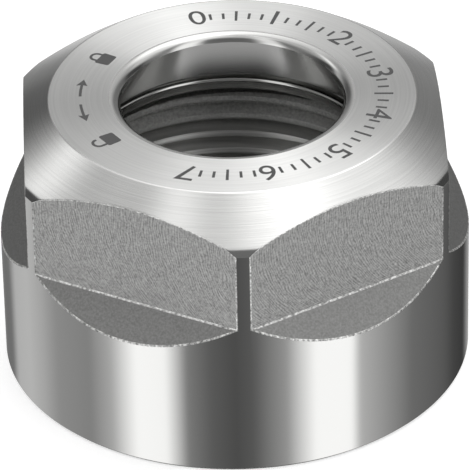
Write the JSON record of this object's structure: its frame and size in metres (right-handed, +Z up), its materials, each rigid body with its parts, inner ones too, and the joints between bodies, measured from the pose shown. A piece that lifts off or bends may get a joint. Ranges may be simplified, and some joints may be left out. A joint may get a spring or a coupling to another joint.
{
  "type": "collet nut",
  "caption": "Hexagon clamping nut for a spring collet: round skirt, sloping shoulders under the flats, turned nose with a through hole, tapered seat and internal thread.",
  "frame": {"origin": "centre of the open bottom rim, on the thread's axis", "axes": "+Z up along the bore towards the nose, -Y towards a hexagon corner, +X square to a flat"},
  "size_m": [0.034, 0.034, 0.021],
  "materials": {
    "steel": "bare hardened steel: fine turned top and cone, milled flats and shoulders, ground skirt, polished seat, oily dark thread"
  },
  "bodies": {
    "root": {"collet_nut": "steel"}
  },
  "joints": []
}
